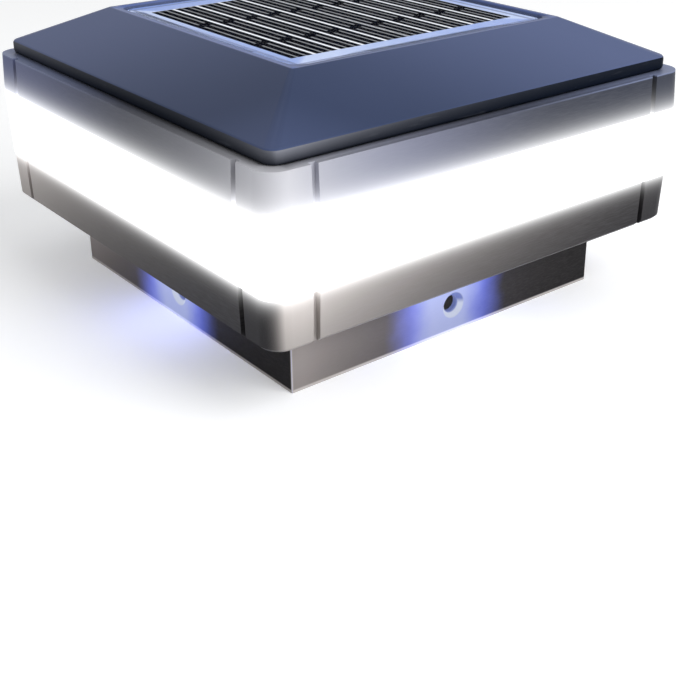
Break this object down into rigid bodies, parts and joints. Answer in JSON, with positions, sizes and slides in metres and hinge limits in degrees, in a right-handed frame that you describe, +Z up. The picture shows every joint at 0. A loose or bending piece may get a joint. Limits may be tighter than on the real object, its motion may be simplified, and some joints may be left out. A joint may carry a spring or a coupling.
{
  "type": "deck post cap light",
  "caption": "Square solar cap light for a deck post, with a collar, a glowing band, a pyramid lid with a solar panel, downlights, a battery door and a mode switch.",
  "frame": {"origin": "middle of the collar's lower rim", "axes": "+Z up, -Y is the front, on the switch's side"},
  "size_m": [0.125, 0.125, 0.07],
  "materials": {
    "lid_slate": "satin moulded plastic, slate blue",
    "rail_grey": "satin moulded plastic, metallic grey",
    "trim_metal": "brushed",
    "collar_grey": "satin moulded plastic, dark grey",
    "diffuser": "frosted, lit from inside",
    "seal": "matte",
    "foam": "closed-cell foam",
    "panel_back": "silvery white border under the clear cover",
    "cells": "dark silicon with thin silver lines",
    "panel_cover": "clear and glossy",
    "white_plastic": "satin",
    "led_strip": "white solder mask",
    "white_led": "lit",
    "downlight_lens": "clear lens, lit blue",
    "circuit_board": "green solder mask",
    "blue_led": "lit",
    "chip_black": "moulded",
    "ferrite": "dull",
    "capacitor_sleeve": "shrink sleeve",
    "terminal_green": "moulded",
    "switch_shell": "tinned",
    "cell_can": "nickel plated",
    "cell_sleeve": "shrink sleeve",
    "contact_metal": "plated spring metal",
    "door_grey": "satin moulded plastic",
    "brass": "turned",
    "steel": "zinc plated",
    "lead_red": "insulation",
    "lead_black": "insulation",
    "lead_white": "insulation",
    "lead_blue": "insulation"
  },
  "bodies": {
    "housing": {"collar": "collar_grey", "collar_screws": "steel", "base_tray": "rail_grey", "lower_trim_front": "trim_metal", "lower_trim_right": "trim_metal", "lower_trim_back": "trim_metal", "lower_trim_left": "trim_metal", "diffuser_band": "diffuser", "lower_seal": "seal", "upper_seal": "seal", "upper_frame": "rail_grey", "upper_trim_front": "trim_metal", "upper_trim_right": "trim_metal", "upper_trim_back": "trim_metal", "upper_trim_left": "trim_metal", "lid": "lid_slate", "lid_gasket": "seal", "case_screws": "steel", "panel_tape": "foam", "solar_panel": "panel_back", "solar_cells": "cells", "panel_cover": "panel_cover", "led_carrier": "white_plastic", "led_strip": "led_strip", "white_leds": "white_led", "downlight_lens_front": "downlight_lens", "downlight_lens_right": "downlight_lens", "downlight_lens_back": "downlight_lens", "downlight_lens_left": "downlight_lens", "downlight_board_front": "circuit_board", "downlight_board_right": "circuit_board", "downlight_board_back": "circuit_board", "downlight_board_left": "circuit_board", "blue_leds_front": "blue_led", "blue_leds_right": "blue_led", "blue_leds_back": "blue_led", "blue_leds_left": "blue_led", "main_board": "circuit_board", "board_screws": "steel", "control_chip": "chip_black", "inductor": "ferrite", "capacitor": "capacitor_sleeve", "wire_terminal": "terminal_green", "switch_body": "switch_shell", "battery_cell": "cell_can", "battery_sleeve": "cell_sleeve", "contact_plus": "contact_metal", "contact_minus": "contact_metal", "screw_insert": "brass", "solar_lead_red": "lead_red", "solar_lead_black": "lead_black", "battery_lead_red": "lead_red", "battery_lead_black": "lead_black", "led_lead": "lead_white", "downlight_leads": "lead_blue"},
    "battery_door": {"battery_door": "door_grey", "door_screw": "steel", "door_pad": "foam"},
    "switch_slider": {"switch_slider": "chip_black"}
  },
  "joints": [
    {"name": "battery_door_hinge", "type": "hinge", "parent": "housing", "child": "battery_door", "pos_m": [0, 0.01025, 0.0204], "axis": [1, 0, 0], "range_deg": [0, 80]},
    {"name": "mode_switch", "type": "slide", "parent": "housing", "child": "switch_slider", "axis": [1, 0, 0], "range_m": [-0.002, 0.002]}
  ]
}
